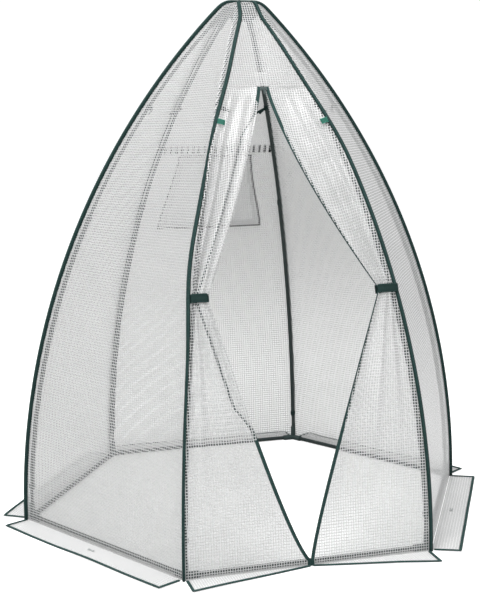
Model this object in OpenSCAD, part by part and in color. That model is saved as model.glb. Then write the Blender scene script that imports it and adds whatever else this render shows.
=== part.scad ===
// Six-sided bowed pop-up greenhouse: rib frame, film cover, tied-back door, skirts and a window.
// Millimetres. Origin on the ground at the middle of the base. +Z up, the door faces -Y.

/* [Frame] */
// Height of the film's top above the ground
height = 1500; // [1000:10:2200]
// Radius from the middle to a seam at the ground
base_r = 684; // [400:1:1000]
// Radius of the rib's long bow, measured at the seam
bow_r = 2100; // [1500:10:3500]
// Radius of the tight bend where a seam turns over the top
top_bend_r = 50; // [30:1:120]
// Distance of a pole's middle inside its seam
pole_inset = 16; // [14:0.5:30]
// Radius of the upper pole, a solid rod
upper_r = 5; // [3:0.1:8]
// Radius of the lower pole, a tube
lower_r = 6.5; // [5:0.1:10]
// Height of the joint between lower and upper pole
ferrule_z = 893; // [500:1:1100]
// Radius of a base rod
rod_r = 6.5; // [4:0.1:10]
// Outer radius of a corner connector's arm
arm_r = 9; // [7:0.1:14]
// Length of a corner connector's level arm
arm_l = 36; // [20:1:80]
// Height of a corner connector's upright socket
socket_z = 49; // [30:1:100]

/* [Cover] */
// Thickness of the film, drawn heavier than the real sheet
film_t = 1.2; // [0.3:0.1:3]
// Radius of the bound seam that follows each rib
seam_r = 5.5; // [3:0.1:8]
// Steps up the long bow of a film wall
bow_steps = 20; // [8:1:40]
// Width of the ground skirts
skirt_w = 80; // [40:1:200]
// Thickness of the skirts
skirt_t = 1.2; // [0.3:0.1:3]

/* [Front seams] */
// How far the front seams leave their poles toward the door, near the top
front_off = 20; // [0:1:30]
// How far the left strap draws its seam aside
strap_pull = 14; // [0:1:20]
// Half the front's width where it meets the seam across the top
front_top = 19; // [14:1:30]

/* [Door] */
// Height of the slit's top end
slit_top = 1250; // [900:1:1350]
// Height of the slit's bottom end
slit_bottom = 16; // [5:1:60]
// Height of the tie-back straps
strap_z = 708; // [400:1:900]
// Width of the zip tape on each door edge
zip_w = 9; // [5:0.5:16]
// Strap webbing height
strap_h = 24; // [15:1:50]
// Height where the left flap's turned-back edge begins
turn_low = 340; // [200:5:500]
// Height where it ends
turn_high = 1215; // [1000:5:1240]
// How far the left flap's edge is turned back
turn_w = 28; // [10:1:50]

/* [Window] */
// Height of the flap's top edge
flap_top = 1048; // [800:1:1200]
// Height of the flap's bottom edge
flap_bottom = 806; // [500:1:1000]
// Half width of the flap at its top
flap_hw_top = 121; // [60:1:160]
// Half width of the flap at its bottom
flap_hw_low = 179; // [60:1:240]

/* [Hidden] */
$fn = 48;

green = [0.2, 0.29, 0.28];
green_tab = [0.25, 0.5, 0.4];
film = [0.9, 0.91, 0.91, 0.5];
grey = [0.35, 0.37, 0.37];

// Rib directions: A left, B front left, C front right, D right, E back right, F back left.
ang_a = 180;
ang_b = 240;
ang_c = 300;
ang_d = 0;
ang_e = 60;
ang_f = 120;

// Middle of the long bow lies on the ground line, so the rib starts upright.
bow_c = base_r - bow_r;
bend_th = asin((height - top_bend_r) / (bow_r - top_bend_r));
bend_c = bow_c + (bow_r - top_bend_r) * cos(bend_th);
bend_z = height - top_bend_r;

pole_bow = bow_r - pole_inset;
foot_r = base_r - pole_inset;
ferrule_th = asin(ferrule_z / pole_bow);
pole_start_th = 2.5;
pole_end_th = 45.2;
rod_z = arm_r - 0.6;
cos30 = cos(30);

// Seam point at angle th up the bow, moved out by o: [radius, z].
function rib_pt(th, o) =
  th <= bend_th ? [bow_c + (bow_r + o) * cos(th), (bow_r + o) * sin(th)]
  : th <= 90 ? [bend_c + (top_bend_r + o) * cos(th), bend_z + (top_bend_r + o) * sin(th)]
  : [bend_c - (th - 90) * (bend_c - 14), height + o];
function th_of(z) = asin(z / bow_r);
function half_side(th) = rib_pt(th, 0)[0] / 2;
// Half width of the film at angle th, up to the bead of the seam.
function film_hw(th) = half_side(th) - (seam_r + 0.3) / sqrt(1 - pow(sin(min(th, 90)) / 2, 2));
function at(v, i) = is_list(v) ? v[i] : v;
function ramp(t) = let (u = min(1, max(0, t))) u * u * (3 - 2 * u);

// Front seams: drawn toward the door near the top, and toward the left wall by the left strap.
function seam_off(side, p) =
  front_off * ramp((p[1] - 1050) / 270) * ramp((p[0] - 34) / 80)
  - (side < 0 ? strap_pull * exp(-pow((p[1] - 790) / 150, 2)) : 0);
function front_x(side, th) = let (p = rib_pt(th, 0)) max(p[0] / 2 - seam_off(side, p), front_top);
function front_hw(side, th) = front_x(side, th) - seam_r - 1.2;

// Angles of a whole wall, from the ground to the top.
wall_th = concat(
  [for (i = [0 : bow_steps]) bend_th * i / bow_steps],
  [for (i = [1 : 5]) bend_th + (90 - bend_th) * i / 5],
  [91]
);

// Film sheet on the front side: th list, left and right x lists, outer and inner offset.
module sheet(th, xl, xr, o_out, o_in) {
  n = len(th);
  pts = [for (i = [0 : n - 1])
    let (po = rib_pt(th[i], at(o_out, i)), pi = rib_pt(th[i], at(o_in, i)))
    each [
      [xl[i], -po[0] * cos30, po[1]],
      [xr[i], -po[0] * cos30, po[1]],
      [xr[i], -pi[0] * cos30, pi[1]],
      [xl[i], -pi[0] * cos30, pi[1]]
    ]];
  sides = [for (i = [0 : n - 2], k = [0 : 3])
    [4 * i + k, 4 * i + (k + 1) % 4, 4 * (i + 1) + (k + 1) % 4, 4 * (i + 1) + k]];
  faces = concat([[3, 2, 1, 0]], [[4 * n - 4, 4 * n - 3, 4 * n - 2, 4 * n - 1]], sides);
  polyhedron(pts, [for (f = faces) [for (k = [len(f) - 1 : -1 : 0]) f[k]]]);
}

// A whole side between two seams, turned so its middle faces dir.
module wall(dir) {
  hw = [for (t = wall_th) film_hw(t)];
  rotate([0, 0, dir + 90])
    sheet(wall_th, [for (w = hw) -w], hw, 0, -film_t);
}

// A side beside the door: its film wraps round the pole to a seam on the front.
module side_wall(side) {
  th = [for (t = wall_th) if (t <= 90) t];
  d = [for (t = th) half_side(t) - front_x(side, t)];
  gap = [for (v = d) v < 0 ? seam_r + 1.2 : max(0.8, (sqrt(max(0, 134.6 - 3 * v * v)) - v) / 2)];
  n = len(th);
  pts = [for (i = [0 : n - 1])
    let (po = rib_pt(th[i], 0), pi = rib_pt(th[i], -film_t), m = min(d[i], 0), w = film_hw(th[i]),
      x = half_side(th[i]) - gap[i] + m / 2 - max(0, th[i] - 70) * 0.7)
    each [
      [-w, -po[0] * cos30, po[1]],
      [x, -po[0] * cos30 + m * cos30, po[1]],
      [x, -pi[0] * cos30 + m * cos30, pi[1]],
      [-w, -pi[0] * cos30, pi[1]]
    ]];
  sides = [for (i = [0 : n - 2], k = [0 : 3])
    [4 * i + k, 4 * i + (k + 1) % 4, 4 * (i + 1) + (k + 1) % 4, 4 * (i + 1) + k]];
  faces = concat([[3, 2, 1, 0]], [[4 * n - 4, 4 * n - 3, 4 * n - 2, 4 * n - 1]], sides);
  wrap = [for (i = [0 : n - 1]) if (d[i] > seam_r + 2.5) i];
  scale_x(-side) {
    rotate([0, 0, 300])
      polyhedron(pts, [for (f = faces) [for (k = [len(f) - 1 : -1 : 0]) f[k]]]);
    sheet([for (i = wrap) th[i]],
      [for (i = wrap) -half_side(th[i]) + 0.8],
      [for (i = wrap) -front_x(side, th[i]) - seam_r - 0.6], 0, -film_t);
  }
}

// Torus arc along a rib: ring section from radius r1 to r2 about the bow line at radius big.
module rib_arc(dir, big, r_out, r_in, th0, th1) {
  rotate([0, 0, dir])
    translate([bow_c, 0, 0])
      rotate([90, 0, 0])
        rotate([0, 0, th0])
          rotate_extrude(angle = th1 - th0, $fn = 360)
            translate([big, 0])
              difference() {
                circle(r = r_out, $fn = 32);
                if (r_in > 0) circle(r = r_in, $fn = 32);
              }
}

// ---- frame ----

module pole_upper(dir) {
  color(green)
    rib_arc(dir, pole_bow, upper_r, 0, ferrule_th - 1.6, pole_end_th);
}

module pole_lower(dir) {
  color(green) {
    rib_arc(dir, pole_bow, lower_r, upper_r + 0.15, pole_start_th, ferrule_th);
    rotate([0, 0, dir])
      translate([foot_r - 0.8, 0, 14])
        cylinder(h = 79, r = upper_r - 0.2);
    rib_arc(dir, pole_bow, upper_r + 0.5, 0, pole_start_th, pole_start_th + 0.15);
  }
}

module ferrules() {
  color(green)
    for (a = [0 : 60 : 300])
      rib_arc(a, pole_bow, lower_r + 1.1, lower_r + 0.1, ferrule_th - 0.45, ferrule_th - 0.02);
}

// Three-way connector: an upright socket and two level arms along the sides.
module corner_joint(dir) {
  rotate([0, 0, dir])
    translate([foot_r, 0, 0])
      difference() {
        union() {
          translate([0, 0, rod_z]) sphere(r = arm_r);
          translate([0, 0, rod_z]) cylinder(h = socket_z - rod_z, r = arm_r - 1);
          for (s = [-120, 120])
            translate([0, 0, rod_z])
              rotate([0, 0, s])
                rotate([0, 90, 0])
                  cylinder(h = arm_l, r = arm_r);
        }
        translate([-0.8, 0, 13.8]) cylinder(h = socket_z, r = upper_r + 0.1);
        translate([-60, -60, -20]) cube([120, 120, 20]);
        for (s = [-120, 120])
          translate([0, 0, rod_z])
            rotate([0, 0, s])
              rotate([0, 90, 0])
                translate([0, 0, 12])
                  cylinder(h = arm_l, r = rod_r + 0.1);
      }
}

module corner_joints() {
  color(green)
    for (a = [0 : 60 : 300]) corner_joint(a);
}

// Base rod on the side that faces dir.
module base_rod(dir) {
  l = foot_r - 26;
  color(green)
    rotate([0, 0, dir])
      translate([foot_r * cos30, -l / 2, rod_z])
        rotate([-90, 0, 0])
          cylinder(h = l, r = rod_r);
}

module hub_body() {
  color(green)
    difference() {
      union() {
        translate([0, 0, 1462]) cylinder(h = 24, r = 49);
        translate([0, 0, 1450]) cylinder(h = 14, r1 = 30, r2 = 44);
        for (a = [0 : 60 : 300])
          rib_arc(a, pole_bow, 8, 0, 43.5, 45.5);
      }
      for (a = [0 : 60 : 300])
        rib_arc(a, pole_bow, upper_r + 0.15, 0, 43, pole_end_th + 0.05);
      translate([0, 0, 1440]) cylinder(h = 36, r = 22);
    }
}

module hub_cap() {
  color(green) {
    translate([0, 0, 1486]) cylinder(h = 4, r = 26);
    translate([0, 0, 1490]) cylinder(h = 3, r1 = 26, r2 = 20);
  }
}

tie_th = th_of(1203);

// Webbing loops that hold the cover to the poles, high and low on every rib.
module pole_ties() {
  color(green)
    for (a = [0 : 60 : 300]) {
      rib_arc(a, pole_bow, upper_r + 1.6, upper_r + 0.1, th_of(1196), th_of(1210));
      rib_arc(a, pole_bow, lower_r + 1.6, lower_r + 0.1, th_of(94), th_of(108));
      rotate([0, 0, a])
        translate([bow_c + pole_bow * cos(tie_th), 0, pole_bow * sin(tie_th)])
          rotate([0, -tie_th, 0])
            mirror([0, 1, 0])
              translate([-6.4, -33, -17])
                rotate([22, 0, 0])
                  cube([1.6, 32, 9]);
    }
}

// ---- door ----

// Half width of the open door at height z on its left and right side.
function edge_left(z) =
  z > strap_z ? 18 + 222 * pow(max(slit_top - z, 0) / (slit_top - strap_z), 1.1)
  : 240 * pow(max(z - slit_bottom, 0) / (strap_z - slit_bottom), 0.78) + 0.3;
function edge_right(z) =
  z > strap_z ? -3 + 233 * pow(max(slit_top - z, 0) / (slit_top - strap_z), 1.5)
  : 230 * pow(max(z - slit_bottom, 0) / (strap_z - slit_bottom), 1.25) + 0.3;

door_z = concat(
  [0, 8, slit_bottom, 24, 40],
  [for (i = [1 : 5]) 40 + (turn_low - 40) * i / 5],
  [turn_low + 20, turn_low + 30, turn_low + 60, turn_low + 90],
  [for (i = [1 : 5]) turn_low + 90 + (strap_z - turn_low - 90) * i / 5],
  [for (i = [1 : 9]) strap_z + (turn_high - 90 - strap_z) * i / 9],
  [for (d = [60, 30, 20, 0]) turn_high - d],
  [slit_top - 18, slit_top - 1]
);
door_th = [for (z = door_z) th_of(z)];
door_hw_l = [for (t = door_th) front_hw(-1, t)];
door_hw_r = [for (t = door_th) front_hw(1, t)];

// The left flap's edge is turned back behind it: share of the full turn at height z.
function turned(z) = min(1, max(0, (z - turn_low) / 90)) * min(1, max(0, (turn_high - z) / 90));
function tape_deep(z) = min(1, 3 * turned(z));
function tape_in(z) = max(0, turned(z) - 0.34) / 0.66 * turn_w;
function front_gap(z) = (zip_w + 0.2) * (1 - max(0, min(1, 3 * tape_deep(z) - 2)));
turn_drop = 3.2;

module door_flap_left() {
  back = [for (i = [0 : len(door_z) - 1]) if (tape_in(door_z[i]) > 3) i];
  color(film) {
    sheet(door_th, [for (w = door_hw_l) -w],
      [for (i = [0 : len(door_z) - 1]) max(-edge_left(door_z[i]) - front_gap(door_z[i]), -door_hw_l[i] + 1)],
      0, -film_t);
    sheet([for (i = back) door_th[i]],
      [for (i = back) -edge_left(door_z[i]) - tape_in(door_z[i]) + 0.2],
      [for (i = back) -edge_left(door_z[i]) - 0.1], -turn_drop + 0.2, -turn_drop - 1);
  }
}

module door_flap_right() {
  color(film)
    sheet(door_th, [for (i = [0 : len(door_z) - 1]) min(edge_right(door_z[i]) + zip_w + 0.2, door_hw_r[i] - 1)],
      door_hw_r, 0, -film_t);
}

module zip_tape_left() {
  color(green)
    sheet(door_th, [for (z = door_z) -edge_left(z) - tape_in(z) - zip_w], [for (z = door_z) -edge_left(z) - tape_in(z)],
      [for (z = door_z) 0.8 - turn_drop * tape_deep(z)], [for (z = door_z) -film_t - 0.4 - turn_drop * tape_deep(z)]);
}

module zip_tape_right() {
  color(green)
    sheet(door_th, [for (z = door_z) edge_right(z)], [for (z = door_z) edge_right(z) + zip_w], 0.8, -film_t - 0.4);
}

module front_header() {
  th = concat([th_of(slit_top)], [for (t = wall_th) if (t > th_of(slit_top) + 0.5) t]);
  color(film)
    sheet(th, [for (t = th) -front_hw(-1, t)], [for (t = th) front_hw(1, t)], 0, -film_t);
}

// Lean of the front wall at the slit's top end, from upright.
slit_lean = atan(tan(th_of(slit_top - 12)) * cos30);
slit_p = rib_pt(th_of(slit_top - 12), 0);
zip_x = -10.5;

module at_slit() {
  translate([0, -slit_p[0] * cos30, slit_p[1]])
    rotate([-slit_lean, 0, 0])
      children();
}

module zip_slider() {
  color(green)
    at_slit() {
      translate([zip_x - 10, -3.6, 1]) cube([20, 2.2, 11]);
      for (x = [-3.6, 2])
        translate([zip_x + x, -6.8, 2]) cube([1.6, 3.4, 5]);
    }
}

module zip_pull() {
  color(green)
    at_slit()
      difference() {
        union() {
          translate([zip_x - 1.6, -6.2, -5]) cube([3.2, 1.6, 9.9]);
          translate([zip_x - 3, -6.2, -13]) cube([6, 1.6, 9]);
        }
        translate([zip_x, -8, -9.5]) rotate([-90, 0, 0]) cylinder(h = 8, r = 1.4);
      }
}

// ---- seams ----

// Bead swept along a path of [radius, z, normal radius, normal z] in the rib's plane.
module bead(path) {
  n = len(path);
  k = 12;
  pts = [for (p = path, j = [0 : k - 1])
    let (c = cos(360 * j / k), d = sin(360 * j / k))
    [p[0] + seam_r * c * p[2], seam_r * d, p[1] + seam_r * c * p[3]]];
  sides = [for (i = [0 : n - 2], j = [0 : k - 1])
    [k * i + j, k * i + (j + 1) % k, k * (i + 1) + (j + 1) % k, k * (i + 1) + j]];
  polyhedron(pts, concat(
    [[for (j = [k - 1 : -1 : 0]) j]], sides, [[for (j = [0 : k - 1]) k * (n - 1) + j]]
  ));
}

seam_th = [for (t = wall_th) if (t <= 90) t];
half_path = [for (t = seam_th) [rib_pt(t, 0)[0], rib_pt(t, 0)[1], cos(t), sin(t)]];

module seam_run(dir) {
  rotate([0, 0, dir])
    bead(concat(half_path, [[seam_r * 2.1, height, 0, 1]]));
}

// Front seam, which ends on the seam that crosses the top.
module seam_front(side) {
  k = 12;
  path = concat(
    [for (t = seam_th) let (p = rib_pt(t, 0)) [front_x(side, t), -p[0] * cos30, p[1], cos(t), sin(t)]],
    [[front_top, -seam_r * 2.1, height, 0, 1]]
  );
  n = len(path);
  pts = [for (p = path, j = [0 : k - 1])
    let (c = seam_r * cos(360 * j / k), d = seam_r * sin(360 * j / k))
    [p[0] + c * p[3] / 2 + d * cos30, p[1] - c * p[3] * cos30 + d / 2, p[2] + c * p[4]]];
  sides = [for (i = [0 : n - 2], j = [0 : k - 1])
    [k * i + j, k * i + (j + 1) % k, k * (i + 1) + (j + 1) % k, k * (i + 1) + j]];
  scale_x(side)
    polyhedron(pts, concat(
      [[for (j = [k - 1 : -1 : 0]) j]], sides, [[for (j = [0 : k - 1]) k * (n - 1) + j]]
    ));
}

module seam_ad() {
  color(green)
    bead(concat(
      half_path,
      [for (i = [len(half_path) - 1 : -1 : 0])
        [-half_path[i][0], half_path[i][1], -half_path[i][2], half_path[i][3]]]
    ));
}

// ---- skirts ----

skirt_in = base_r * cos30 + 1.6;
skirt_end = 7;

// Ground skirt beside the side that faces dir.
module skirt(dir) {
  color(film)
    rotate([0, 0, dir])
      translate([skirt_in, -base_r / 2 + skirt_end, 0])
        cube([skirt_w - 1.6, base_r - 2 * skirt_end, skirt_t]);
}

// Front skirt, tapering from a front corner to nothing at the middle of the door.
module skirt_front(side) {
  color(film)
    scale_x(side)
      linear_extrude(skirt_t)
        polygon([
          [11, -skirt_in], [11, -skirt_in - 6.5],
          [base_r / 2 - skirt_end, -skirt_in - skirt_w + 1.6],
          [base_r / 2 - skirt_end, -skirt_in]
        ]);
}

module scale_x(side) {
  if (side > 0) children();
  else mirror([1, 0, 0]) children();
}

// Small eyelet loop in the middle of a skirt, for a ground peg.
module skirt_loop(dir) {
  color(grey)
    rotate([0, 0, dir])
      translate([base_r * cos30 + 30, 0, skirt_t])
        difference() {
          union() {
            for (y = [-8, 8])
              translate([0, y, 0]) cylinder(h = 1.6, r = 5);
            translate([-1.5, -8, 0]) cube([3, 16, 1.6]);
          }
          for (y = [-8, 8])
            translate([0, y, -1]) cylinder(h = 4, r = 2.6);
        }
}

// ---- straps ----

strap_th = th_of(strap_z);
strap_p = rib_pt(strap_th, 0);
strap_lean = atan(tan(strap_th) * cos30);
strap_x0 = strap_p[0] / 2 + 6;

module at_strap() {
  translate([0, -strap_p[0] * cos30, strap_p[1]])
    rotate([-strap_lean, 0, 0])
      children();
}

// Outer half of a tie-back strap, from the rib to its free end.
module strap(side, x_end) {
  color(green)
    scale_x(side)
      at_strap() {
        translate([x_end, -11.6, -strap_h / 2]) cube([strap_x0 - x_end, 1.8, strap_h]);
        translate([x_end, -11.6, -strap_h / 2]) cube([1.8, 9, strap_h]);
      }
}

// Inner halves of both tie-back straps, sewn to the seams.
module strap_keepers() {
  color(green)
    for (s = [[-1, 232], [1, 222]])
      scale_x(s[0])
        at_strap()
          translate([s[1], 8.4, -strap_h / 2]) cube([26, 1.8, strap_h]);
}

// Short webbing tabs on the front, beside both front seams.
module upper_tabs() {
  th = th_of(1157);
  p = rib_pt(th, 0);
  x = front_x(1, th);
  color(green_tab)
    for (s = [-1, 1])
      scale_x(s)
        translate([0, -p[0] * cos30, p[1]])
          rotate([-atan(tan(th) * cos30), 0, 0])
            translate([x - 25, -3, -9]) cube([15.5, 2.2, 18]);
}

// ---- window in the back wall ----

function flap_hw(z) =
  flap_hw_low + (flap_hw_top - flap_hw_low) * (z - flap_bottom) / (flap_top - flap_bottom);
win_z = [for (i = [0 : 8]) flap_bottom + (flap_top - flap_bottom) * i / 8];
win_top = flap_top - 16;
win_low = flap_bottom + 16;

module window_hole() {
  rotate([90, 0, 180])
    linear_extrude(900)
      polygon([
        [-flap_hw(win_low) + 18, win_low], [flap_hw(win_low) - 18, win_low],
        [flap_hw(win_top) - 18, win_top], [-flap_hw(win_top) + 18, win_top]
      ]);
}

module wall_ef() {
  color(film)
    difference() {
      wall(90);
      window_hole();
    }
}

module back_sheet(z0, z1, n, in, o_out, o_in) {
  zs = [for (i = [0 : n]) z0 + (z1 - z0) * i / n];
  rotate([0, 0, 180])
    sheet([for (z = zs) th_of(z)], [for (z = zs) -flap_hw(z) + in], [for (z = zs) flap_hw(z) - in], o_out, o_in);
}

module window_mesh() {
  color(film)
    back_sheet(win_low - 6, win_top + 6, 8, 12, -film_t - 0.9, -film_t - 1.7);
}

module window_flap() {
  color(film)
    back_sheet(flap_bottom, flap_top, 8, 0, 2.4, 1.2);
}

// Webbing band across the back wall above the flap.
module window_band() {
  zs = [for (i = [0 : 3]) 1054 + 31 * i / 3];
  hw = [for (z = zs) half_side(th_of(z)) - seam_r - 2];
  color(green)
    rotate([0, 0, 180])
      sheet([for (z = zs) th_of(z)], [for (w = hw) -w], hw, 1.8, 0.3);
}

hub_body();
hub_cap();
pole_upper(ang_a);  // pole_upper_a
pole_upper(ang_b);  // pole_upper_b
pole_upper(ang_c);  // pole_upper_c
pole_upper(ang_d);  // pole_upper_d
pole_upper(ang_e);  // pole_upper_e
pole_upper(ang_f);  // pole_upper_f
pole_lower(ang_a);  // pole_lower_a
pole_lower(ang_b);  // pole_lower_b
pole_lower(ang_c);  // pole_lower_c
pole_lower(ang_d);  // pole_lower_d
pole_lower(ang_e);  // pole_lower_e
pole_lower(ang_f);  // pole_lower_f
ferrules();
corner_joints();
base_rod(210);  // base_rod_ab
base_rod(270);  // base_rod_bc
base_rod(330);  // base_rod_cd
base_rod(30);  // base_rod_de
base_rod(90);  // base_rod_ef
base_rod(150);  // base_rod_fa
pole_ties();
color(film) side_wall(-1);  // wall_ab
color(film) side_wall(1);  // wall_cd
color(film) wall(30);  // wall_de
wall_ef();
color(film) wall(150);  // wall_fa
front_header();
door_flap_left();
door_flap_right();
zip_tape_left();
zip_tape_right();
zip_slider();
zip_pull();
seam_ad();
color(green) seam_front(-1);  // seam_b
color(green) seam_front(1);  // seam_c
color(green) seam_run(ang_e);  // seam_e
color(green) seam_run(ang_f);  // seam_f
skirt(210);  // skirt_ab
skirt_front(-1);  // skirt_front_left
skirt_front(1);  // skirt_front_right
skirt(330);  // skirt_cd
skirt(30);  // skirt_de
skirt(90);  // skirt_ef
skirt(150);  // skirt_fa
skirt_loop(210);  // skirt_loop_ab
skirt_loop(330);  // skirt_loop_cd
skirt_loop(30);  // skirt_loop_de
skirt_loop(90);  // skirt_loop_ef
skirt_loop(150);  // skirt_loop_fa
strap(-1, 238);  // strap_left
strap(1, 226);  // strap_right
strap_keepers();
upper_tabs();
window_mesh();
window_flap();
window_band();
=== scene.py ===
import math

import bpy
import numpy as np
from mathutils import Matrix, Vector


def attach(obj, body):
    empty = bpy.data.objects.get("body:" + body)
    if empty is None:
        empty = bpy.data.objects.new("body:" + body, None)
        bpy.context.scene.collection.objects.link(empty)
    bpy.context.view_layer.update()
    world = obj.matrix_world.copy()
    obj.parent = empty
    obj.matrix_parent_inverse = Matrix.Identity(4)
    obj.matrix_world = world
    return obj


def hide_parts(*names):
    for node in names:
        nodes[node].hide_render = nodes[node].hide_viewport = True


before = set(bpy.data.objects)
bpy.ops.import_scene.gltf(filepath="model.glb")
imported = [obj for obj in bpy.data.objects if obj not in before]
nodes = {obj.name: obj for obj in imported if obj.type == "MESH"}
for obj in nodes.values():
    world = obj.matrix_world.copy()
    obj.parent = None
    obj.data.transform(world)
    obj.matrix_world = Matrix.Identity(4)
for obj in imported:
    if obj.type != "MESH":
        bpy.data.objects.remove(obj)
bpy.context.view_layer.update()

# A six-sided garden tent: rigid poles and joints come from the frame, and every soft piece is
# built here as a thin curved sheet or a swept band. +Z up, the door faces -Y.

# ---------------------------------------------------------------- dimensions, in metres
H = 1.5  # height of the film's top
BASE_R = 0.684  # middle to a rib at the ground
BOW_R = 2.1  # long bow of a rib
BEND_R = 0.05  # tight bend where a rib turns over the top
SEAM_R = 0.0055
TUCK = SEAM_R * 0.45  # how far a film's edge stops short of its seam's middle
INSET = 0.016  # a pole's middle inside its seam
SLIT_TOP = 1.25
SLIT_LOW = 0.016
STRAP_Z = 0.708
TAB_Z = 1.157
COS30 = math.cos(math.radians(30))
# Middle of the bow, angle and middle of the bend, and lengths up the rib to the bend's two ends
BOW_C = BASE_R - BOW_R
BEND_TH = math.asin((H - BEND_R) / (BOW_R - BEND_R))
BEND_C = BOW_C + (BOW_R - BEND_R) * math.cos(BEND_TH)
S_BOW = BOW_R * BEND_TH
S_BEND = S_BOW + BEND_R * (math.pi / 2 - BEND_TH)
RIB = {"a": 180, "b": 240, "c": 300, "d": 0, "e": 60, "f": 120}
SIDES = {"ab": 210, "bc": 270, "cd": 330, "de": 30, "ef": 90, "fa": 150}
# The sides are built in the door's position and turned from there.
FRONT = SIDES["bc"]


def rib(s):
    """Radius, height and outward normal at length s up a rib, for an array of s."""
    s = np.asarray(s, float)
    th = np.where(s <= S_BOW, s / BOW_R, BEND_TH + (s - S_BOW) / BEND_R)
    th = np.minimum(th, math.pi / 2)
    flat = np.maximum(s - S_BEND, 0)
    r = np.where(s <= S_BOW, BOW_C + BOW_R * np.cos(th), BEND_C + BEND_R * np.cos(th)) - flat
    z = np.where(s <= S_BOW, BOW_R * np.sin(th), H - BEND_R + BEND_R * np.sin(th))
    return r, z, np.cos(th), np.sin(th)


def s_of(z):
    """Length up a rib at height z on its long bow."""
    return BOW_R * np.arcsin(np.asarray(z, float) / BOW_R)


S_STRAP = float(s_of(STRAP_Z))
S_SLIT = float(s_of(SLIT_TOP))


def smooth(t):
    """Soft step from 0 to 1."""
    t = np.clip(t, 0, 1)
    return t * t * (3 - 2 * t)


def front_x(side, s):
    """Distance of a front seam from the middle: drawn in near the top, out by the left strap."""
    r, z, _, _ = rib(s)
    off = 0.020 * smooth((z - 1.05) / 0.27) * smooth((r - 0.034) / 0.08)
    if side < 0:
        off = off - 0.014 * np.exp(-(((z - 0.79) / 0.15) ** 2))
    return np.maximum(r / 2 - off, 0.019)


def turn(points, deg):
    """Points turned about the middle, seen from above."""
    a = math.radians(deg)
    c, s = math.cos(a), math.sin(a)
    out = points.copy()
    out[..., 0] = c * points[..., 0] - s * points[..., 1]
    out[..., 1] = s * points[..., 0] + c * points[..., 1]
    return out


def front(x, s, d=0.0):
    """Point on the front side at x across, s up and d out of the film's face."""
    r, z, nr, nz = rib(s)
    a = r * COS30
    n = np.sqrt(nr**2 + (nz * COS30) ** 2)
    ny, nzz = nr / n, nz * COS30 / n
    x, s, d = np.broadcast_arrays(x, s, d)
    return np.stack([x, -(a + d * ny), z + d * nzz], -1)


def wave(a, b, seed):
    """Smooth repeatable wobble from a few sines, about -1 to 1."""
    rng = np.random.RandomState(seed)
    out = 0
    for _ in range(5):
        k, m, p = rng.uniform(-1, 1), rng.uniform(-1, 1), rng.uniform(0, 6.28)
        out = out + np.sin(a * k + b * m + p)
    return out / 3


# ---------------------------------------------------------------- mesh helpers


def build(name, verts, faces, uvs, mat):
    """Smooth mesh object with one UV layer and one material."""
    me = bpy.data.meshes.new(name)
    me.from_pydata([tuple(v) for v in verts], [], faces)
    layer = me.uv_layers.new(name="UVMap")
    idx = np.zeros(len(me.loops), int)
    me.loops.foreach_get("vertex_index", idx)
    layer.data.foreach_set("uv", np.asarray(uvs, float)[idx].ravel())
    me.update()
    ob = bpy.data.objects.new(name, me)
    bpy.context.scene.collection.objects.link(ob)
    me.materials.append(mat)
    me.polygons.foreach_set("use_smooth", [True] * len(me.polygons))
    return ob


def grid(name, pts, uv, mat, mask=None):
    """Sheet from an array of points [rows, columns, 3]."""
    n, m = pts.shape[:2]
    faces = []
    for i in range(n - 1):
        for j in range(m - 1):
            if mask is None or mask[i, j]:
                k = i * m + j
                faces.append((k, k + 1, k + m + 1, k + m))
    verts, uvs = pts.reshape(-1, 3), uv.reshape(-1, 2)
    if mask is not None:
        used = sorted({k for f in faces for k in f})
        new = {k: i for i, k in enumerate(used)}
        verts, uvs = verts[used], uvs[used]
        faces = [tuple(new[k] for k in f) for f in faces]
    return build(name, verts, faces, uvs, mat)


def sweep(name, path, normal, width, height, mat, around=14, power=2.6):
    """Rounded band swept along path: width lies across the normal, height along it."""
    path, normal = np.asarray(path, float), np.asarray(normal, float)
    tan = np.gradient(path, axis=0)
    tan /= np.linalg.norm(tan, axis=1)[:, None]
    normal = normal - tan * (normal * tan).sum(1)[:, None]
    normal /= np.linalg.norm(normal, axis=1)[:, None]
    side = np.cross(tan, normal)
    a = np.linspace(0, 2 * math.pi, around, endpoint=False)
    cx = np.sign(np.cos(a)) * np.abs(np.cos(a)) ** (2 / power)
    cy = np.sign(np.sin(a)) * np.abs(np.sin(a)) ** (2 / power)
    width = np.broadcast_to(width, len(path))
    height = np.broadcast_to(height, len(path))
    pts = (
        path[:, None]
        + side[:, None] * (cx[None, :, None] * width[:, None, None] / 2)
        + normal[:, None] * (cy[None, :, None] * height[:, None, None] / 2)
    )
    length = np.concatenate([[0], np.cumsum(np.linalg.norm(np.diff(path, axis=0), axis=1))])
    n = len(path)
    verts = pts.reshape(-1, 3)
    faces = []
    for i in range(n - 1):
        for j in range(around):
            k = (j + 1) % around
            faces.append((i * around + j, i * around + k, (i + 1) * around + k, (i + 1) * around + j))
    faces.append(tuple(range(around - 1, -1, -1)))
    faces.append(tuple((n - 1) * around + j for j in range(around)))
    uv = np.stack(
        [
            np.broadcast_to((cx * 0.5)[None, :] * width[:, None], (n, around)),
            np.broadcast_to(length[:, None], (n, around)),
        ],
        -1,
    ).reshape(-1, 2)
    return build(name, verts, faces, uv, mat)


def join(name, obs):
    """Several new meshes as one piece."""
    bpy.ops.object.select_all(action="DESELECT")
    for o in obs:
        o.select_set(True)
    bpy.context.view_layer.objects.active = obs[0]
    bpy.ops.object.join()
    obs[0].name = name
    obs[0].data.name = name
    return obs[0]


# ---------------------------------------------------------------- materials


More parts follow.
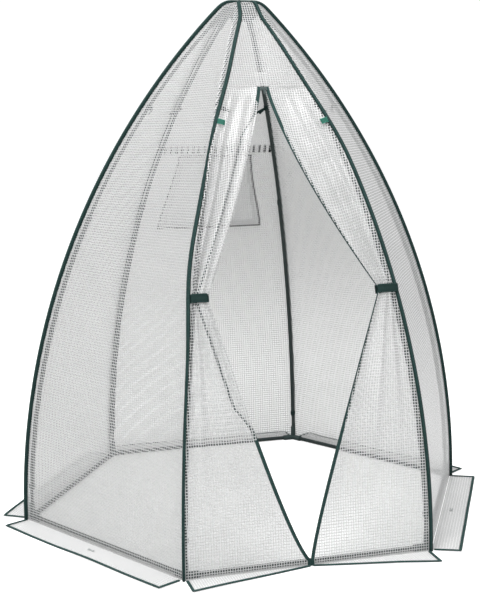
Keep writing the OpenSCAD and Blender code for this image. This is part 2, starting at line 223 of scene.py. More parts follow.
class Nodes:
    """Short way to add nodes to a new material, or to a world's own tree."""

    def __init__(self, name, owner=None):
        self.mat = owner or bpy.data.materials.new(name)
        self.mat.use_nodes = True
        self.t = self.mat.node_tree
        if owner is None:
            self.t.nodes.clear()

    def add(self, kind, **sockets):
        """New node: _name sets a property, i0 an input by number, Some__Name an input by name."""
        n = self.t.nodes.new(kind)
        for k, v in sockets.items():
            if k.startswith("_"):
                setattr(n, k[1:], v)
                continue
            key = int(k[1:]) if k[0] == "i" and k[1:].isdigit() else k.replace("__", " ")
            if isinstance(v, bpy.types.NodeSocket):
                self.t.links.new(v, n.inputs[key])
            else:
                n.inputs[key].default_value = v
        return n

    def math(self, op, a, b=0.0, c=0.0):
        return self.add("ShaderNodeMath", _operation=op, i0=a, i1=b, i2=c).outputs[0]

    def ramp(self, fac, stops):
        n = self.add("ShaderNodeValToRGB", i0=fac)
        e = n.color_ramp.elements
        while len(e) < len(stops):
            e.new(0.5)
        for k, (p, c) in enumerate(stops):
            e[k].position = p
            e[k].color = (*c, 1) if len(c) == 3 else c
        return n.outputs[0]

    def mix(self, fac, a, b):
        n = self.add("ShaderNodeMix", _data_type="RGBA")
        for i, v in ((0, fac), (6, a), (7, b)):
            if isinstance(v, bpy.types.NodeSocket):
                self.t.links.new(v, n.inputs[i])
            else:
                n.inputs[i].default_value = v if i == 0 else (*v, 1)
        return n.outputs[2]

    def out(self, shader):
        o = self.t.nodes.new("ShaderNodeOutputMaterial")
        self.t.links.new(shader, o.inputs[0])
        return self.mat


def film_material(
    name, pitch, thread, clear=0.98, haze=0.10, tone=0.60, milk=0.59, sheen=0.035, crumple=0.2
):
    """Clear plastic film with a grid of white threads, laid out in metres in the piece's UVs.

    thread is a thread's share of the pitch, clear the light let through a gap, haze the milky
    share of a gap, tone and milk the brightness of threads and haze, sheen the gloss.
    """
    n = Nodes(name)
    uv = n.add("ShaderNodeUVMap").outputs[0]
    noise = n.add("ShaderNodeTexNoise", Vector=uv, Scale=9.0, Detail=3.0, Roughness=0.55).outputs[0]
    wob = n.add("ShaderNodeTexNoise", Vector=uv, Scale=45.0, Detail=1.0).outputs[0]
    sep = n.add("ShaderNodeSeparateXYZ", Vector=uv)
    masks = []
    for k in (0, 1):
        step = pitch * (0.9, 1.02)[k]
        w = n.math("MULTIPLY_ADD", wob, step * 0.3, sep.outputs[k])
        f = n.math("FRACT", n.math("DIVIDE", w, step))
        tri = n.math("ABSOLUTE", n.math("SUBTRACT", f, 0.5))
        line = n.math("MULTIPLY", n.math("SUBTRACT", thread / 2 + 0.02, tri), 25.0)
        masks.append(n.math("SMOOTH_MIN", line, 1.0, 0.2))
    mask = n.add("ShaderNodeClamp", Value=n.math("MAXIMUM", masks[0], masks[1])).outputs[0]
    bump = n.add("ShaderNodeBump", Strength=0.15, Distance=0.0005, Height=mask).outputs[0]
    soft = n.add("ShaderNodeBump", Strength=0.3, Distance=0.004, Height=noise, Normal=bump).outputs[0]
    cells = n.add("ShaderNodeTexVoronoi", Vector=uv, Scale=9.0, Randomness=1.0).outputs["Distance"]
    creased = n.add("ShaderNodeBump", Strength=crumple, Distance=0.012, Height=cells, Normal=soft)
    soft = creased.outputs[0]
    white = n.mix(noise, (tone * 0.95, tone * 0.955, tone * 0.955), (tone * 1.06,) * 3)
    cloud = n.mix(noise, (milk * 0.94, milk * 0.945, milk * 0.945), (milk * 1.05,) * 3)
    kinds = []
    for col, through in ((white, 0.45), (cloud, 0.85)):
        dif = n.add("ShaderNodeBsdfDiffuse", Color=col, Normal=soft).outputs[0]
        trl = n.add("ShaderNodeBsdfTranslucent", Color=col, Normal=soft).outputs[0]
        kinds.append(n.add("ShaderNodeMixShader", i0=through, i1=dif, i2=trl).outputs[0])
    tr = n.add("ShaderNodeBsdfTransparent", Color=(clear, clear * 1.004, clear * 1.003, 1)).outputs[0]
    gap = n.add("ShaderNodeMixShader", i0=haze, i1=tr, i2=kinds[1]).outputs[0]
    gls = n.add("ShaderNodeBsdfGlossy", Color=(1, 1, 1, 1), Roughness=0.38, Normal=soft).outputs[0]
    lw = n.add("ShaderNodeLayerWeight", Blend=0.2, Normal=soft).outputs[0]
    gfac = n.math("MULTIPLY_ADD", lw, 0.3, sheen)
    body = n.add("ShaderNodeMixShader", i0=mask, i1=gap, i2=kinds[0]).outputs[0]
    return n.out(n.add("ShaderNodeMixShader", i0=gfac, i1=body, i2=gls).outputs[0])


WEAVE = 900.0 * 6.28  # ribs per metre of webbing, as an angle
STITCH_W, STITCH_L = 0.00035, 0.0042


def webbing_material(name, base, dark, light, stitch=0.0, bars=0.0):
    """Woven tape with fine ribs and painted shade toward its edges, from its UVs in metres.

    stitch is the distance of a row of stitches from the middle, and bars the spacing of dark
    bars across a tape that is otherwise clear.
    """
    n = Nodes(name)
    uv = n.add("ShaderNodeUVMap").outputs[0]
    sep = n.add("ShaderNodeSeparateXYZ", Vector=uv)
    across = n.math("ABSOLUTE", sep.outputs[0])
    noise = n.add("ShaderNodeTexNoise", Vector=uv, Scale=120.0, Detail=4.0, Roughness=0.6).outputs[0]
    big = n.add("ShaderNodeTexNoise", Vector=uv, Scale=14.0, Detail=2.0).outputs[0]
    ribs = n.math("SINE", n.math("MULTIPLY", sep.outputs[1], WEAVE))
    warp = n.math("SINE", n.math("MULTIPLY", sep.outputs[0], WEAVE * 1.6))
    weave = n.math("MULTIPLY", ribs, warp)
    shade = n.math("ADD", n.math("MULTIPLY", noise, 0.5), n.math("MULTIPLY", big, 0.5))
    col = n.mix(n.ramp(shade, [(0.3, (0, 0, 0)), (0.7, (1, 1, 1))]), dark, light)
    # painted shade: toward the tape's edges the colour goes to base, which is darker than the middle in
    # most tapes, so the middle reads as a painted highlight
    col = n.mix(n.math("MULTIPLY", across, 90.0), col, base)
    height = n.math("MULTIPLY_ADD", weave, 0.5, noise)
    if stitch > 0:
        row = n.math("LESS_THAN", n.math("ABSOLUTE", n.math("SUBTRACT", across, stitch)), STITCH_W)
        dash = n.math("LESS_THAN", n.math("FRACT", n.math("DIVIDE", sep.outputs[1], STITCH_L)), 0.62)
        thread = n.math("MULTIPLY", row, dash)
        col = n.mix(thread, col, tuple(min(1, c * 2.4 + 0.01) for c in light))
        height = n.math("ADD", height, thread)
    if bars > 0:
        bar = n.math("LESS_THAN", n.math("FRACT", n.math("DIVIDE", sep.outputs[1], bars)), 0.42)
        col = n.mix(bar, col, (0.012, 0.02, 0.02))
    bump = n.add("ShaderNodeBump", Strength=0.5, Distance=0.0005, Height=height).outputs[0]
    p = n.add("ShaderNodeBsdfPrincipled", Base__Color=col, Roughness=0.7, Normal=bump)
    p.inputs["Specular IOR Level"].default_value = 0.12
    if bars > 0:
        clear = n.add("ShaderNodeBsdfTransparent", Color=(0.98, 0.98, 0.98, 1)).outputs[0]
        return n.out(n.add("ShaderNodeMixShader", i0=bar, i1=clear, i2=p.outputs[0]).outputs[0])
    return n.out(p.outputs[0])


def coat_material(name, base, light, rough, scale=60.0, bump_d=0.0002):
    """Painted or moulded surface with slight colour change and texture, in object space."""
    n = Nodes(name)
    co = n.add("ShaderNodeTexCoord").outputs["Object"]
    a = n.add("ShaderNodeTexNoise", Vector=co, Scale=scale, Detail=4.0, Roughness=0.6).outputs[0]
    b = n.add("ShaderNodeTexNoise", Vector=co, Scale=scale * 14, Detail=2.0).outputs[0]
    col = n.mix(a, base, light)
    rr = n.math("MULTIPLY_ADD", a, 0.2, rough - 0.1)
    bump = n.add("ShaderNodeBump", Strength=0.4, Distance=bump_d, Height=b).outputs[0]
    p = n.add("ShaderNodeBsdfPrincipled", Base__Color=col, Roughness=rr, Normal=bump)
    return n.out(p.outputs[0])


PITCH, THREAD = 0.0077, 0.28
film = film_material("grid_film", PITCH, THREAD)
door_film = film_material(
    "door_film", PITCH, THREAD, haze=0.125, tone=0.69, milk=0.74, sheen=0.028, crumple=0.7
)
skirt_film = film_material("skirt_film", PITCH, THREAD, haze=0.2, tone=0.70, milk=0.68)
mesh_mat = film_material("insect_mesh", 0.0024, 0.16, clear=0.985, haze=0.0, sheen=0.0)
binding = webbing_material(
    "seam_binding", (0.007, 0.021, 0.019), (0.009, 0.025, 0.023), (0.018, 0.042, 0.039), stitch=0.0034
)
trim_mat = webbing_material(
    "edge_binding", (0.010, 0.027, 0.025), (0.012, 0.031, 0.029), (0.022, 0.05, 0.046), stitch=0.0022
)
green = webbing_material(
    "green_webbing", (0.006, 0.018, 0.0165), (0.007, 0.02, 0.0185), (0.016, 0.038, 0.034), stitch=0.0095
)
green_lit = webbing_material(
    "green_tab", (0.02, 0.105, 0.075), (0.012, 0.06, 0.045), (0.04, 0.17, 0.125), stitch=0.007
)
band_mat = webbing_material(
    "window_band", (0.62, 0.63, 0.63), (0.58, 0.59, 0.59), (0.72, 0.73, 0.73), bars=0.0186
)
grey_tape = webbing_material(
    "grey_trim", (0.012, 0.012, 0.011), (0.014, 0.014, 0.013), (0.03, 0.03, 0.028), stitch=0.0022
)
paint = coat_material("green_paint", (0.006, 0.015, 0.014), (0.011, 0.024, 0.023), 0.5)
plastic = coat_material("green_plastic", (0.014, 0.032, 0.03), (0.024, 0.048, 0.045), 0.5, 90.0, 0.0003)
zipmetal = coat_material("zip_slider", (0.02, 0.035, 0.034), (0.05, 0.07, 0.068), 0.35, 200.0)
eyelet = coat_material("eyelet", (0.22, 0.24, 0.24), (0.36, 0.38, 0.38), 0.45, 150.0)

# The frame's own solids: coloured where they are, rods and tubes smooth.
for name, ob in nodes.items():
    if name.startswith(("pole_upper", "pole_lower", "base_rod", "ferrules")):
        m = paint
    elif name.startswith(("hub", "corner")):
        m = plastic
    elif name.startswith(("zip_slider", "zip_pull")):
        m = zipmetal
    elif name.startswith("skirt_loop"):
        m = eyelet
    else:
        m = green
    ob.data.materials.clear()
    ob.data.materials.append(m)
    for poly in ob.data.polygons:
        poly.use_smooth = name.startswith(("pole", "base_rod", "ferrules", "hub_cap"))

# ---------------------------------------------------------------- film walls

S_TOP = S_BEND + (BEND_C - 0.006)  # length of a wall up its ribs
CREASES = (0.46, 0.86, 1.22)  # heights of the soft lines left by packing


def wall_points(ns, nu, s0, s1, seed, slack=0.006, door=False):
    """Film of one side in the front position: it hangs a little inward between two seams."""
    s = np.linspace(s0, s1, ns)[:, None]
    u = np.linspace(-1, 1, nu)[None, :]
    r = rib(s)[0]
    hl = np.maximum((front_x(-1, s) if door else r / 2) - TUCK, 0.0005)
    hr = np.maximum((front_x(1, s) if door else r / 2) - TUCK, 0.0005)
    x = np.where(u < 0, u * hl, u * hr)
    span = np.clip(hl / 0.3, 0, 1)
    hold = smooth(s / 0.12) * smooth((S_BOW - s) / 0.25)
    edge = 1 - u**2
    d = -slack * edge * hold * span
    d = d + 0.0022 * wave(x * 34, s * 9, seed) * edge * hold
    for k, sc in enumerate(CREASES):
        c = s - sc - 0.012 * np.sin(x * 9 + seed + k)
        d = d - 0.0022 * np.exp(-((c / 0.007) ** 2)) * edge * hold
    # short puckers beside the seams
    tug = np.sin(s * 22 + seed) * 0.5 + 0.5
    pucker = np.cos(u * 40) * np.exp(-((1 - np.abs(u)) / 0.12) ** 2)
    d = d + 0.0016 * pucker * tug * edge**0.5 * hold
    pts = front(x, s + 0 * u, d)
    uv = np.stack([x + 0 * s, s + 0 * u], -1)
    return pts, uv, x + 0 * s, s + 0 * u


S_AB = S_BEND + BEND_C - 0.022  # a wall beside the door stops short of the junction at the top


def side_wall(side, seed):
    """Film beside the door: past its pole it goes on round the corner to the front seam."""
    pts, uv, _, s = wall_points(160, 48, 0.0, S_AB, seed)
    r = rib(s[:, :1])[0]
    d = r / 2 - front_x(side, s[:, :1])
    go = np.array([0.5, COS30, 0.0])
    share = ((np.linspace(-1, 1, 48) + 1) / 2)[None, :] ** 2
    pts = pts + (np.minimum(d, 0) * share)[..., None] * go
    corner = pts[:, -1:] + np.array([TUCK, 0, 0]) * smooth(d / 0.004)[..., None]
    pts[:, -1:] = corner
    t = np.linspace(0, 1, 13)[None, 1:]
    far = np.maximum(d - SEAM_R * 0.4, 0.0004)
    more = corner + (far * t)[..., None] * go
    pts = np.concatenate([pts, more], 1)
    uv = np.concatenate([uv, np.stack([uv[:, -1:, 0] + far * t, s[:, :12]], -1)], 1)
    bend = smooth(d / 0.006)[..., None]
    for _ in range(3):
        soft = pts.copy()
        soft[:, 40:-1] = (pts[:, 39:-2] + pts[:, 40:-1] * 2 + pts[:, 41:]) / 4
        pts = pts + (soft - pts) * bend
    # last rows run in to where the seams meet at the top
    junction = np.array([-0.0047, -0.0192, H])
    last, last_uv = pts[-1:], uv[-1:]
    steps = (0.35, 0.7, 0.96)
    pts = np.concatenate([pts] + [last + (junction - last) * k for k in steps])
    uv = np.concatenate([uv] + [last_uv + np.array([0, k * 0.02]) for k in steps])
    if side > 0:
        pts[..., 0] *= -1
        uv[..., 0] *= -1
    return pts, uv


def flat_area(s0, s1, width=None):
    """Area of a flat cut from s0 to s1 up the rib, a whole side wide unless width(s) says less."""
    s = np.linspace(s0, s1, 200)
    w = rib(s)[0] if width is None else width(s)
    return float(np.sum((w[1:] + w[:-1]) * np.diff(s)) / 2)


for k, (side, deg) in enumerate(SIDES.items()):
    if side in ("bc", "ef"):
        continue
    if side in ("ab", "cd"):
        pts, uv = side_wall(-1 if side == "ab" else 1, 3 + k)
    else:
        pts, uv, _, _ = wall_points(150, 46, 0.0, S_TOP, 3 + k)
    ob = grid("film_" + side, turn(pts, deg - FRONT), uv, film)
    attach(ob, "greenhouse")
    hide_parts("wall_" + side)
    area = flat_area(0, S_TOP)

# ---------------------------------------------------------------- back wall with its window

FLAP_TOP, FLAP_LOW = 1.048, 0.806
HW_TOP, HW_LOW = 0.121, 0.179
HOLE_IN, HOLE_SIDE = 0.016, 0.018  # the opening's edges inside the flap's
WINDOW_AREA = 0.05
BAND_Z = 1.069


def flap_hw(z):
    """Half width of the window flap at height z."""
    return HW_LOW + (HW_TOP - HW_LOW) * (z - FLAP_LOW) / (FLAP_TOP - FLAP_LOW)


pts, uv, xx, ss = wall_points(190, 64, 0.0, S_TOP, 21)
zz = rib(ss)[1]
hole = (zz > FLAP_LOW + HOLE_IN) & (zz < FLAP_TOP - HOLE_IN) & (np.abs(xx) < flap_hw(zz) - HOLE_SIDE)
mask = ~(hole[:-1, :-1] & hole[1:, 1:] & hole[1:, :-1] & hole[:-1, 1:])
ob = grid("film_ef", turn(pts, 180), uv, film, mask)
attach(ob, "greenhouse")
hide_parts("wall_ef")
area = flat_area(0, S_TOP) - WINDOW_AREA


def back(x, z, d):
    """Point on the window's side at x across, height z and d out of the film's face."""
    return turn(front(x, s_of(z), d), 180)


def panel(z0, z1, inset, d, amp=0.0, sway=0.0):
    """Sheet in the window's outline, less an inset, with ripples amp deep and swaying sides."""
    z = np.linspace(z0, z1, 30)[:, None]
    u = np.linspace(-1, 1, 40)[None, :]
    x = u * (flap_hw(z) - inset)
    dd = d + amp * wave(x * 40, z * 26, 5) * (1 - u**2) ** 0.3 * smooth((FLAP_TOP - z) / 0.05)
    x = x * (1 + sway * np.sin((z - FLAP_LOW) * 24 + 0.6))
    return back(x + 0 * z, z + 0 * u, dd), np.stack([x + 0 * z, s_of(z) + 0 * u], -1)


pts, uv = panel(FLAP_LOW + 0.010, FLAP_TOP - 0.010, 0.012, -0.0025)
ob = grid("window_net", pts, uv, mesh_mat)
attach(ob, "greenhouse")
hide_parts("window_mesh")

pts, uv = panel(FLAP_LOW, FLAP_TOP, 0.002, 0.0028, amp=0.0014, sway=0.018)
ob = grid("window_flap_film", pts, uv, film)
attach(ob, "window_cover")
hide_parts("window_flap")
out = turn(np.array([[0.0, -1, 0.35]]), 180)
edges = []
for edge in (pts[:, 0], pts[:, -1], pts[0], pts[-1]):
    edges.append(sweep("flap_edge", edge, np.tile(out, (len(edge), 1)), 0.0070, 0.0022, grey_tape))
trim = join("window_flap_trim", edges)
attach(trim, "window_cover")

# webbing band above the flap, stitched in short groups
ub = np.linspace(-1, 1, 60)
hwb = rib(s_of(BAND_Z))[0] / 2 - 0.008
path = back(ub * hwb, np.full(60, BAND_Z), 0.0012)
nrm = turn(np.tile(np.array([[0.0, -1, 0.45]]), (60, 1)), 180)
ob = sweep("window_band_tape", path, nrm, 0.028, 0.0018, band_mat, power=5)
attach(ob, "greenhouse")
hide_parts("window_band")

# ---------------------------------------------------------------- front: header and door flaps


def edge_left(z):
    """Distance of the left flap's free edge from the middle: drawn to the strap from both ends."""
    hi = 0.018 + 0.222 * (np.clip(SLIT_TOP - z, 0, 9) / (SLIT_TOP - STRAP_Z)) ** 1.1
    lo = 0.240 * (np.clip(z - SLIT_LOW, 0, 9) / (STRAP_Z - SLIT_LOW)) ** 0.78 + 0.0003
    return np.where(z > STRAP_Z, hi, lo)


def edge_right(z):
    """The same for the right flap."""
    hi = -0.003 + 0.233 * (np.clip(SLIT_TOP - z, 0, 9) / (SLIT_TOP - STRAP_Z)) ** 1.5
    lo = 0.230 * (np.clip(z - SLIT_LOW, 0, 9) / (STRAP_Z - SLIT_LOW)) ** 1.25 + 0.0003
    return np.where(z > STRAP_Z, hi, lo)


pts, uv, _, _ = wall_points(60, 46, S_SLIT, S_TOP, 9, door=True)
ob = grid("film_header", pts, uv, film)
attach(ob, "greenhouse")
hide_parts("front_header")
area = flat_area(S_SLIT, S_TOP)

# The left flap's edge is turned back behind it: from and to which height, how wide and how deep.
TURN_LOW, TURN_HIGH, TURN_W, TURN_DROP = 0.34, 1.215, 0.028, 0.0034


def turned(z):
    """Share of the full turn at height z."""
    return np.clip((z - TURN_LOW) / 0.09, 0, 1) * np.clip((TURN_HIGH - z) / 0.09, 0, 1)


def folds(side, s, a, w):
    """Depth of the gathered film at share a of its way w from the seam to the door edge."""
    up = s - S_STRAP
    reach = np.where(up > 0, 0.42, 0.30)
    near = np.exp(-((np.abs(up) / reach) ** 1.4))
    tight = np.exp(-((up / 0.10) ** 2))
    drift = 0.35 * np.sin(s * 5.5 + side) + 0.2 * np.sin(s * 13 + 2 * side)
    b = a + 0.05 * np.sin(2 * math.pi * (1.4 * a + 0.3 * side + 0.15 * drift))
    n1 = 3.2 if side < 0 else 3.0
    c = 2 * math.pi * (n1 * b + 0.22 * drift + 0.1)
    broad = np.cos(c) + 0.18 * np.cos(2 * c + 0.8)
    fine = np.cos(2 * math.pi * (7.3 * b + 0.4 * drift + 0.4))
    amp = 0.0150 * near * (1 - 0.5 * tight)
    d = broad * amp + fine * 0.0024 * tight + fine * 0.0009 * near
    dist = w * a
    soft_in = smooth(dist / 0.014)
    # stay in front of the pole
    d = np.where(d < 0, np.maximum(d, -0.0045 - 0.5 * np.clip(dist - 0.020, 0, 0.012)), d)
    if side < 0:
        # stay in front of the turned-back edge
        over = smooth((dist - w + TURN_W + 0.012) / 0.008) * np.clip(turned(rib(s)[1]) * 3, 0, 1)
        d = np.where(d < 0, d * (1 - 0.75 * over), d)
    hold = smooth(s / 0.06) * smooth((S_SLIT - s) / 0.10)
    sag = -0.006 * np.sin(math.pi * np.clip(a, 0, 1)) * (1 - near) * smooth(s / 0.2)
    edge = np.minimum(1, np.clip(1 - a, 0, 1) / 0.10) * 0.75 + 0.25
    lift = 0.0028 * tight * smooth(dist / 0.02)
    ripple = 0.0012 * wave(a * 9 + s * 5, s * 17, 8 + side)
    # stay behind the strap
    room = np.where(d > 0, 0.0062 + 0.6 * np.clip(np.abs(up) - 0.016, 0, 1), 1.0)
    d = np.minimum(d, room)
    loose = (sag + ripple * hold) * smooth(a / 0.1) * smooth((1 - a) / 0.08 + 0.05)
    return (d * edge + lift) * hold * soft_in + loose


def flap(side):
    """Door flap drawn aside: rows up the height, columns from the rib to the door edge."""
    ns, na = 300, 150
    s = np.linspace(0, S_SLIT, ns)[:, None]
    a = np.linspace(0, 1, na)[None, :]
    z = rib(s)[1]
    hw = front_x(side, s) - TUCK
    e = (edge_left if side < 0 else edge_right)(z)
    w = hw - e
    x = hw - w * a
    d = folds(side, s, a, w)
    # the left flap goes on round its edge and back behind itself
    fw = 0 * s
    if side < 0:
        t = np.linspace(0, 1, 26)[None, 1:] ** 1.6
        g = np.clip(turned(z) - 0.34, 0, 1) / 0.66
        fw = TURN_W * g
        deep = np.clip(turned(z) * 3, 0, 1)
        k = smooth(t * 5)
        back_d = d[:, -1:] * (1 - k * deep) - (TURN_DROP + 0.0016) * deep * k
        x = np.concatenate([x, e + fw * t], 1)
        d = np.concatenate([d, back_d], 1)
    step = np.hypot(np.diff(x, axis=1), np.diff(d, axis=1))
    run = np.concatenate([np.zeros((ns, 1)), np.cumsum(step, 1)], 1)
    pts = front(side * x, s + 0 * x, d)
    uv = np.stack([side * (hw - run), s + 0 * x], -1)
    return pts, uv, s[:, 0], (e + fw)[:, 0], d[:, -1]


TAPE_W, TAPE_T = 0.0092, 0.0022
for side, nm in ((-1, "left"), (1, "right")):
    pts, uv, s, ex, ed = flap(side)
    ob = grid("door_film_" + nm, pts, uv, door_film)
    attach(ob, "greenhouse")
    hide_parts("door_flap_" + nm)
    # the zip tape turns edge-on where the flap is gathered
    if side > 0:
        twist = 1.1 * np.exp(-(((s - S_STRAP) / 0.19) ** 2))
    else:
        twist = 1.25 * np.clip(turned(rib(s)[1]) * 1.6, 0, 1)
    ct, st = np.cos(twist), np.sin(twist)
    n0 = front(0.0, s, 1.0) - front(0.0, s, 0.0)
    lateral = np.array([[float(side), 0, 0]])
    nrm = n0 * ct[:, None] + lateral * st[:, None]
    mid = front(side * (ex + 0.0043 * ct), s, ed - 0.0043 * st)
    lip = front(side * (ex + 0.0004 * ct), s, ed - 0.0004 * st)
    tape = sweep("zip_edge_" + nm, mid, nrm, TAPE_W, TAPE_T, trim_mat)
    teeth = sweep("zip_teeth_" + nm, lip, nrm, 0.0030, 0.0032, trim_mat, around=8)
    tape = join("zip_edge_" + nm, [tape, teeth])
    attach(tape, "greenhouse")
    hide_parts("zip_tape_" + nm)
    area = flat_area(0, S_SLIT, lambda h: front_x(side, h) - TUCK)

# small sewn-on patch above the top end of the zip
sp = np.linspace(float(s_of(1.252)), float(s_of(1.290)), 10)[:, None]
xp = np.linspace(-0.030, 0.009, 12)[None, :]
pts = front(xp, sp, 0.0010)
ob = grid("slit_patch", pts, np.stack([xp + 0 * sp, sp + 0 * xp], -1), film)
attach(ob, "greenhouse")

# ---------------------------------------------------------------- bound seams


SEAM_W, SEAM_H = 0.0112, 0.0105


def rib_path(deg, s, off=0.0):
    """Points and outward normals at lengths s up the rib that stands at deg."""
    r, z, nr, nz = rib(s)
    p = np.stack([r + off * nr, 0 * r, z + off * nz], -1)
    n = np.stack([nr, 0 * nr, nz], -1)
    return turn(p, deg), turn(n, deg)


s_run = np.concatenate([np.linspace(0.0, S_BOW, 150), np.linspace(S_BOW, S_BEND, 14)[1:]])
for k in ("b", "c", "e", "f"):
    s2 = np.concatenate([s_run, [S_BEND + BEND_C - 0.008]])
    p, n = rib_path(RIB[k], s2)
    if k in ("b", "c"):
        side = -1 if k == "b" else 1
        p[:, 0] = side * front_x(side, s2)
        p[-1, 1] = -0.0085
    wid = SEAM_W * (1 + 0.035 * wave(s2 * 40, s2 * 0, 60 + RIB[k]))
    if k == "b":
        # seen narrower beside the high tab and below the strap, where it turns edge-on
        z2 = rib(s2)[1]
        p = p + n * 0.0005
        wid = wid * (1 - 0.5 * np.exp(-(((z2 - 1.07) / 0.07) ** 2)) - 0.3 * smooth((0.66 - z2) / 0.12))
    if k in ("e", "f"):
        p = p + n * 0.0028
    ob = sweep("binding_" + k, p, n, wid, SEAM_H, binding, around=18, power=2.3)
    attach(ob, "greenhouse")
    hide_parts("seam_" + k)
# one seam runs from the left rib's foot over the top to the right rib's
pa, na = rib_path(RIB["a"], s_run)
pd, nd = rib_path(RIB["d"], s_run)
p, n = np.concatenate([pa, pd[::-1]]), np.concatenate([na, nd[::-1]])
p = p + n * (0.0030 - 0.0010 * smooth((p[:, 2:] - 1.475) / 0.02))
ob = sweep("binding_ad", p, n, SEAM_W, 0.0125, binding, around=18, power=2.3)
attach(ob, "greenhouse")
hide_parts("seam_ad")

# ---------------------------------------------------------------- skirts

SK_IN = BASE_R * COS30 + 0.0016  # fold line's distance from the middle
SK_W = 0.076  # full width
SK_TIP = 0.004  # width left where a front skirt tapers out
SK_END = BASE_R / 2 - 0.0075


def skirt_sheet(name, deg, body, node, left, right, outer_l, outer_r, seed):
    """Skirt in the front position from x=left to right, with its width at each end."""
    nx, ny = 90, 12
    t = np.linspace(0, 1, nx)[:, None]
    v = np.linspace(0, 1, ny)[None, :]
    x = left + (right - left) * t
    w = outer_l + (outer_r - outer_l) * t
    y = -(SK_IN + w * v)
    lift = 0.0014 + (0.0022 + 0.0022 * wave(x * 30, v * 2, seed)) * v**0.7 * np.clip(w / 0.06, 0, 1)
    pts = np.stack([x + 0 * v, y, np.maximum(lift, 0.0012)], -1)
    uv = np.stack([x + 0 * v, -(w * v) + 0 * x], -1)
    pts = turn(pts, deg - FRONT)
    ob = grid(name, pts, uv, skirt_film)
    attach(ob, body)
    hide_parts(node)
    loop = np.concatenate([pts[0, 1:-1], pts[:-1, -1], pts[-1, :0:-1]])
    up = np.tile(np.array([[0.0, 0, 1]]), (len(loop), 1))
    path = loop + up * 0.0009
    trim = sweep(name + "_trim", path, up, 0.0085, 0.0038, trim_mat, around=10, power=2.4)
    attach(trim, body)


SKIRTS = []
for k, side in enumerate(("ab", "cd", "de", "ef", "fa")):
    SKIRTS.append((side, SIDES[side], -SK_END, SK_END, SK_W, SK_W, 40 + k))
SKIRTS.append(("front_left", FRONT, -SK_END, -0.006, SK_W, SK_TIP, 51))
SKIRTS.append(("front_right", FRONT, 0.006, SK_END, SK_TIP, SK_W, 52))
for nm, deg, left, right, outer_l, outer_r, seed in SKIRTS:
    body, node = f"skirt_{nm}_flap", "skirt_" + nm
    skirt_sheet("skirt_film_" + nm, deg, body, node, left, right, outer_l, outer_r, seed)

# ---------------------------------------------------------------- straps, tabs and ties

hs = float(rib(S_STRAP)[0]) / 2  # a front rib's distance from the middle at the straps
STRAP_W = 0.0235


def band(name, side, xs, ds, width, mat, z=STRAP_Z, tilt=0.0):
    """Webbing across the front at height z, through points x with depth d."""
    t = np.linspace(0, 1, 40)
    xi = np.interp(t, np.linspace(0, 1, len(xs)), xs)
    di = np.interp(t, np.linspace(0, 1, len(ds)), ds)
    ker = np.ones(7) / 7
    xi = np.convolve(np.pad(xi, 3, mode="edge"), ker, "valid")
    di = np.convolve(np.pad(di, 3, mode="edge"), ker, "valid")
    sm = float(s_of(z))
    path = front(side * xi, sm - tilt * (xs[0] - xi), di)
    upv = front(0.0, sm + 0.01, 0.0) - front(0.0, sm - 0.01, 0.0)
    tan = np.gradient(path, axis=0)
    nrm = np.cross(tan, np.tile(upv, (40, 1)))
    return sweep(name, path, nrm, width, 0.0018, mat, power=5)


STRAP_D = [-0.002, 0.0078, 0.0108, 0.0112, 0.0092, 0.004]
for side, nm, x_end in ((-1, "left", 0.2385), (1, "right", 0.2265)):
    xs = [hs + 0.0055, hs + 0.004, hs - 0.006, x_end + 0.012, x_end + 0.0035, x_end + 0.0005]
    ob = band("tieback_" + nm, side, xs, STRAP_D, STRAP_W, green)
    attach(ob, f"strap_{nm}_end")
    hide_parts("strap_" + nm)
keep_d = [-0.0093, -0.0097, -0.009]
keep = [
    band("keep_left", -1, [0.258, 0.245, 0.234], keep_d, STRAP_W, green),
    band("keep_right", 1, [0.248, 0.235, 0.224], keep_d, STRAP_W, green),
]
ob = join("tieback_inner", keep)
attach(ob, "greenhouse")
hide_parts("strap_keepers")

ht = float(front_x(1, s_of(TAB_Z)))
xs = [ht - 0.004, ht - 0.010, ht - 0.018, ht - 0.025]
tab_d = [0.0035, 0.0042, 0.0036, 0.0024]
tabs = [band("tab", side, xs, tab_d, 0.0165, green_lit, TAB_Z, tilt=0.3) for side in (-1, 1)]
ob = join("upper_tab_webbing", tabs)
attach(ob, "greenhouse")
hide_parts("upper_tabs")

# Webbing loops round the poles, high with a knot and two tails, and low: height, pole radius.
TIES = ((1.203, 0.005), (0.101, 0.0065))
ties = []
for deg in RIB.values():
    for zt, pr in TIES:
        s0 = math.asin(zt / (BOW_R - INSET)) * BOW_R
        c, n = rib_path(deg, np.array([s0]), -INSET)
        c, n = c[0], n[0]
        c2, _ = rib_path(deg, np.array([s0 + 0.01]), -INSET)
        tan = c2[0] - c
        tan /= np.linalg.norm(tan)
        b = np.cross(tan, n)
        ang = np.linspace(0, 2 * math.pi, 30)
        for q in (-0.0035, 0.0035):
            nr = np.cos(ang)[:, None] * n + np.sin(ang)[:, None] * b
            path = c + tan * q + nr * (pr + 0.0011)
            ties.append(sweep("ring", path, nr, 0.0065, 0.0016, green, around=8))
        if zt > 1:
            t = np.linspace(0, 1, 16)[:, None]
            for ln, fall in ((0.036, 0.55), (0.022, 0.9)):
                st = c - n * (pr + 0.002)
                path = st + b * (t * ln) - tan * (t**1.5 * ln * fall) - n * (np.sin(t * 3) * 0.003)
                nr = np.tile(n, (16, 1))
                ties.append(sweep("tail", path, nr, 0.008 - 0.001 * t[:, 0], 0.0016, green, around=8))
            a2 = np.linspace(0, 2 * math.pi, 24)[:, None]
            kn = c - n * (pr + 0.0045) + np.cos(a2) * b * 0.004
            kn = kn + np.sin(a2) * tan * 0.0035 + np.sin(2 * a2) * n * 0.0014
            ties.append(sweep("knot", kn, np.tile(n, (24, 1)), 0.0045, 0.0032, green, around=8))
ob = join("rib_ties", ties)
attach(ob, "greenhouse")
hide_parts("pole_ties")

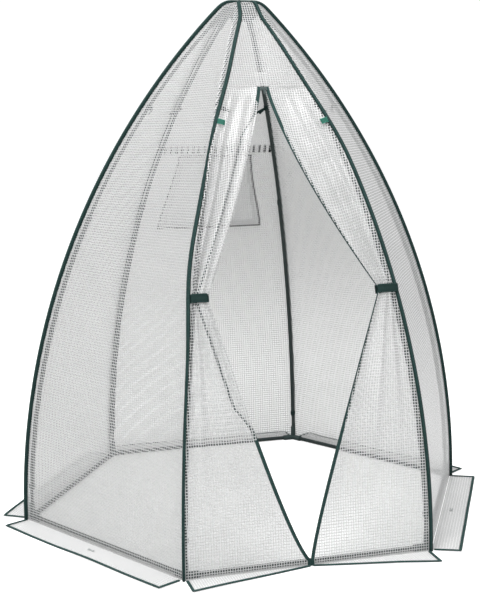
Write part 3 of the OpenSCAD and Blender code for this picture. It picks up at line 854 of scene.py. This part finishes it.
# ---------------------------------------------------------------- floor, light and camera

# Floor and backdrop are white where they are seen directly, and pale grey through the film.
DIRECT_DEPTH = 0.5  # fewer see-through surfaces than this in front

me = bpy.data.meshes.new("floor")
me.from_pydata([(-60, -60, 0), (60, -60, 0), (60, 60, 0), (-60, 60, 0)], [], [(0, 1, 2, 3)])
floor = bpy.data.objects.new("floor", me)
bpy.context.scene.collection.objects.link(floor)
fn = Nodes("floor_white")
fco = fn.add("ShaderNodeTexCoord").outputs["Object"]
fno = fn.add("ShaderNodeTexNoise", Vector=fco, Scale=2.0, Detail=2.0).outputs[0]
fcol = fn.mix(fno, (0.56, 0.56, 0.56), (0.59, 0.59, 0.59))
fp = fn.add("ShaderNodeBsdfPrincipled", Base__Color=fcol, Roughness=0.95)
fp.inputs["Specular IOR Level"].default_value = 0.1
fp.inputs["Emission Color"].default_value = (1, 1, 1, 1)
flp = fn.add("ShaderNodeLightPath")
unveiled = fn.math("LESS_THAN", flp.outputs["Transparent Depth"], DIRECT_DEPTH)
direct = fn.math("MULTIPLY", flp.outputs["Is Camera Ray"], unveiled)
through = fn.math("MULTIPLY", flp.outputs["Is Camera Ray"], 0.19)
fn.t.links.new(fn.math("MULTIPLY_ADD", direct, 0.48, through), fp.inputs["Emission Strength"])
me.materials.append(fn.out(fp.outputs[0]))

world = bpy.data.worlds.new("studio")
bpy.context.scene.world = world
wn = Nodes("studio", world)
bg = wn.t.nodes["Background"]
bg.inputs[0].default_value = (1.0, 1.0, 1.0, 1)
lp = wn.add("ShaderNodeLightPath")
unveiled = wn.math("LESS_THAN", lp.outputs["Transparent Depth"], DIRECT_DEPTH)
seen = wn.math("MULTIPLY", lp.outputs["Is Camera Ray"], unveiled)
wn.t.links.new(wn.math("MULTIPLY_ADD", seen, 0.48, 0.59), bg.inputs[1])


def light(name, loc, aim, size, power):
    """Soft rectangular area light."""
    l = bpy.data.lights.new(name, "AREA")
    l.shape = "RECTANGLE"
    l.size, l.size_y, l.energy = size, size * 0.7, power
    o = bpy.data.objects.new(name, l)
    bpy.context.scene.collection.objects.link(o)
    o.location = loc
    o.rotation_euler = (Vector(aim) - Vector(loc)).to_track_quat("-Z", "Y").to_euler()


light("key", (-2.5, -3.3, 4.6), (0, 0, 1.1), 2.0, 205)
light("fill", (3.6, -1.6, 2.6), (0, 0, 0.7), 2.4, 34)
light("back", (-0.5, 4.0, 3.2), (0, 0, 0.8), 2.4, 18)
light("top", (-1.2, -1.0, 6.6), (0, 0, 1.0), 4.0, 400)

FOCAL = 1131.44 / 480  # focal length in image widths
DISTANCE = 2.29503 * H
az, el, roll = math.radians(-15.3645), math.radians(8.5441), math.radians(0.8373)
target = Vector((-0.01852, 0.00632, 0.62984))

cam = bpy.data.cameras.new("camera")
cam.sensor_fit = "HORIZONTAL"
cam.sensor_width = 36
cam.lens = FOCAL * cam.sensor_width
co = bpy.data.objects.new("camera", cam)
bpy.context.scene.collection.objects.link(co)
zc = Vector((math.sin(az) * math.cos(el), -math.cos(az) * math.cos(el), math.sin(el)))
xc = Vector((0, 0, 1)).cross(zc).normalized()
yc = zc.cross(xc)
xr = xc * math.cos(roll) - yc * math.sin(roll)
yr = xc * math.sin(roll) + yc * math.cos(roll)
m = Matrix((xr, yr, zc)).transposed().to_4x4()
m.translation = target + zc * DISTANCE
co.matrix_world = m
bpy.context.scene.camera = co
bpy.context.scene.view_settings.view_transform = "Standard"
bpy.context.scene.view_settings.look = "None"

bpy.context.view_layer.update()
